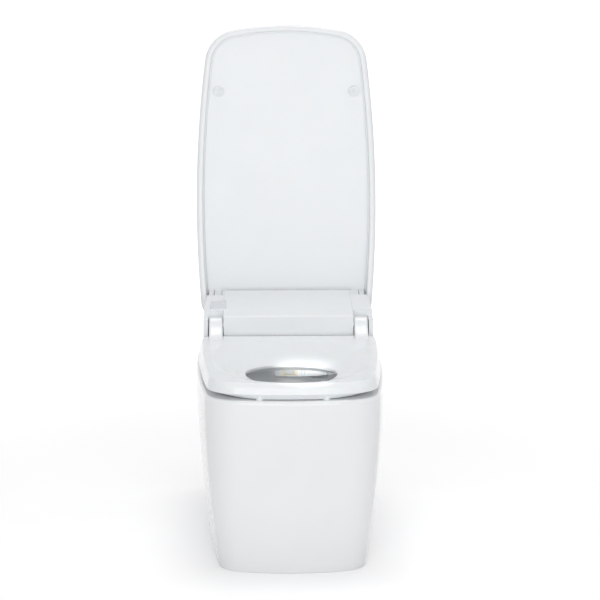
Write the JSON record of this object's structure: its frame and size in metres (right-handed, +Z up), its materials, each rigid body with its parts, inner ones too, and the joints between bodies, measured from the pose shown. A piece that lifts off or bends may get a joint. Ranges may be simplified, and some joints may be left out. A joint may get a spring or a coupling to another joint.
{
  "type": "smart toilet with heated seat",
  "caption": "One-piece floor-standing smart toilet with skirted ceramic pan, rear electronic unit, sliding wash nozzle, heated seat and tall soft-close lid.",
  "frame": {"origin": "floor level, centre of the waste outlet under the pan, 300 mm in front of the back edge", "axes": "+X to the right of a person facing the toilet, +Y towards the wall behind it, +Z up; the front faces -Y"},
  "size_m": [0.4, 0.685, 1.0589],
  "materials": {
    "white_glaze": "glossy white glaze",
    "white_shell": "gloss white moulded plastic",
    "white_satin": "satin white moulded plastic",
    "sensor_grey": "smoked grey window",
    "nozzle_grey": "satin grey plastic",
    "guide_beige": "beige plastic",
    "white_rubber": "soft white rubber",
    "black_rubber": "black rubber",
    "steel": "brushed stainless steel",
    "brass": "plain brass",
    "board_green": "laminate circuit board",
    "grey_plastic": "dark grey moulded plastic",
    "black_plastic": "black moulded plastic",
    "pale_plastic": "pale natural plastic",
    "film_copper": "copper coloured heating film"
  },
  "bodies": {
    "toilet": {"ceramic_pan": "white_glaze", "chassis_plate": "pale_plastic", "chassis_screws": "steel", "control_board": "board_green", "damper_brackets": "pale_plastic", "dryer_duct": "pale_plastic", "dryer_heater": "steel", "fan_housing": "pale_plastic", "fan_motor": "steel", "floor_brackets": "steel", "flush_pump": "black_plastic", "flush_tank": "pale_plastic", "jet_pipe": "grey_plastic", "lid_dampers": "black_plastic", "nose_housing": "white_satin", "nozzle_guide": "guide_beige", "nozzle_motor": "grey_plastic", "odour_filter": "grey_plastic", "outlet_seal": "black_rubber", "power_gland": "black_plastic", "power_supply": "black_plastic", "rear_panel": "white_satin", "seat_dampers": "black_plastic", "sensor_window": "sensor_grey", "skirt_caps": "white_satin", "skirt_screws": "steel", "solenoid_valve": "pale_plastic", "unit_base": "white_satin", "unit_bolts": "steel", "unit_cover": "white_shell", "water_heater": "pale_plastic", "water_inlet": "brass"},
    "lid": {"lid_shell": "white_shell", "lid_inner_panel": "white_shell", "lid_bumpers": "white_rubber", "lid_hinge_pins": "steel"},
    "seat": {"seat_top": "white_shell", "seat_bottom": "white_satin", "seat_heater": "film_copper", "seat_bumpers": "white_rubber", "seat_hinge_shafts": "steel"},
    "nozzle": {"nozzle_wand": "nozzle_grey", "nozzle_tip": "nozzle_grey"},
    "pinion": {"nozzle_pinion": "pale_plastic"},
    "dryer_door": {"dryer_flap": "white_satin"},
    "fan": {"fan_impeller": "grey_plastic"}
  },
  "joints": [
    {"name": "lid_hinge", "type": "hinge", "parent": "toilet", "child": "lid", "pos_m": [0, 0.228, 0.447], "axis": [-1, 0, 0], "range_deg": [-99.53, 0]},
    {"name": "seat_hinge", "type": "hinge", "parent": "toilet", "child": "seat", "pos_m": [0, 0.0635, 0.427], "axis": [-1, 0, 0], "range_deg": [0, 102]},
    {"name": "nozzle_slide", "type": "slide", "parent": "toilet", "child": "nozzle", "axis": [0, -0.9511, -0.309], "range_m": [0, 0.095]},
    {"name": "pinion_spin", "type": "hinge", "parent": "toilet", "child": "pinion", "pos_m": [0, 0.06952, 0.39238], "axis": [-1, 0, 0], "range_deg": [0, 681]},
    {"name": "dryer_flap_hinge", "type": "hinge", "parent": "toilet", "child": "dryer_door", "pos_m": [0.045, -0.03708, 0.35222], "axis": [-1, 0, 0], "range_deg": [0, 55], "stiffness_Nm_per_rad": 0.0005, "springref_deg": -17.19},
    {"name": "fan_spin", "type": "hinge", "parent": "toilet", "child": "fan", "pos_m": [0.085, 0.211, 0.411], "axis": [0, 0, 1], "continuous": true}
  ],
  "couplings": [
    {"joint": "pinion_spin", "follows": "nozzle_slide", "rad_per_m": 125}
  ]
}
